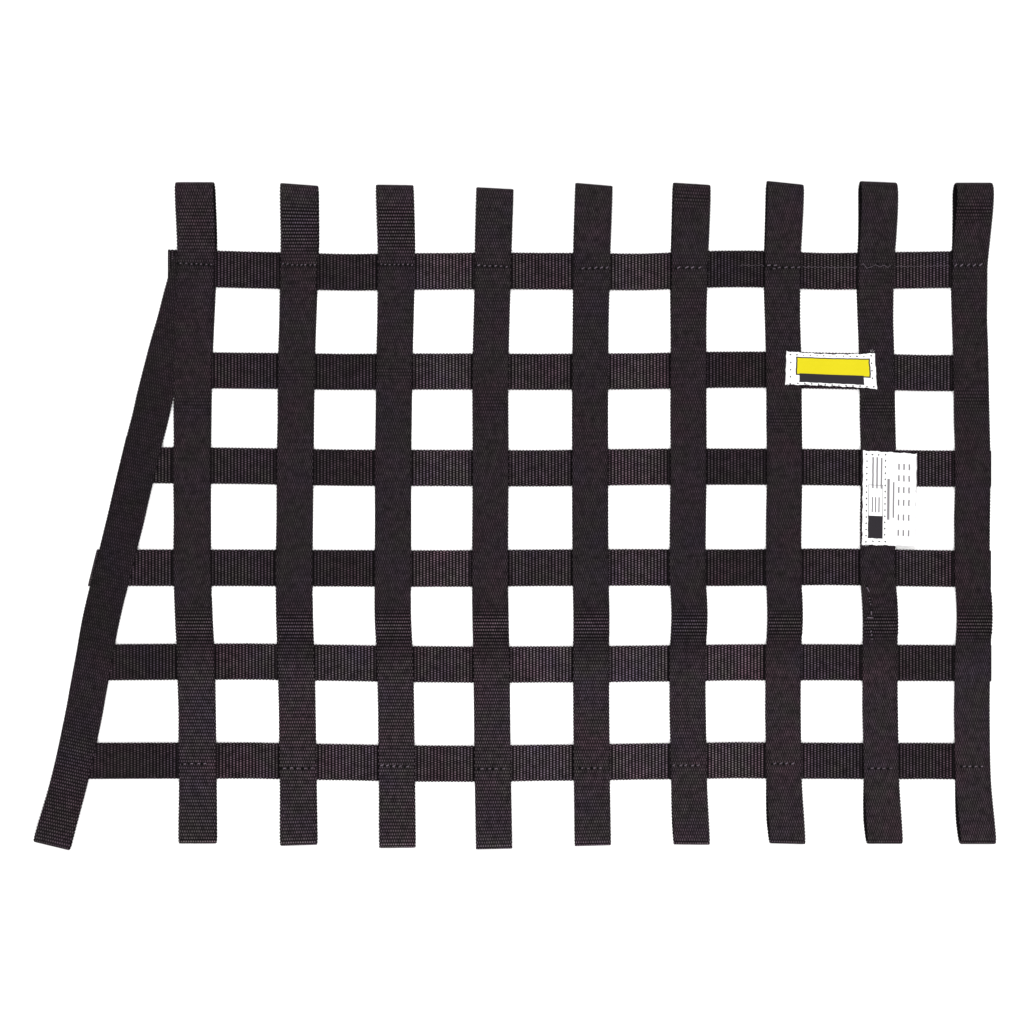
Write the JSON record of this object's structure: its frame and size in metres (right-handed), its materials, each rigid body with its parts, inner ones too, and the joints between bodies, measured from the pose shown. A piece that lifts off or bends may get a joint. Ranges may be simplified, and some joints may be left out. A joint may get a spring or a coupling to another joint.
{
  "type": "racing window net",
  "caption": "Flat ribbon window net of webbing with a slanted end: upright straps, folded into open rod loops at top and bottom, hold cross straps between their layers.",
  "frame": {"origin": "Middle of the net on the surface it lies on.", "axes": "+X runs along the net, away from its slanted end, +Y runs up the net to the top rod loops, +Z is away from the surface, towards the labelled front"},
  "size_m": [0.6724, 0.4686, 0.016],
  "materials": {
    "webbing": "matte",
    "label_cloth": "matte"
  },
  "bodies": {
    "root": {"strap_1": "webbing", "strap_2": "webbing", "strap_3": "webbing", "strap_4": "webbing", "strap_5": "webbing", "strap_6": "webbing", "strap_7": "webbing", "strap_8": "webbing", "strap_9": "webbing", "slant_strap": "webbing", "cross_1": "webbing", "cross_2": "webbing", "cross_3": "webbing", "cross_4": "webbing", "cross_5": "webbing", "cross_6": "webbing", "label_patch": "label_cloth", "label_side": "label_cloth"}
  },
  "joints": []
}
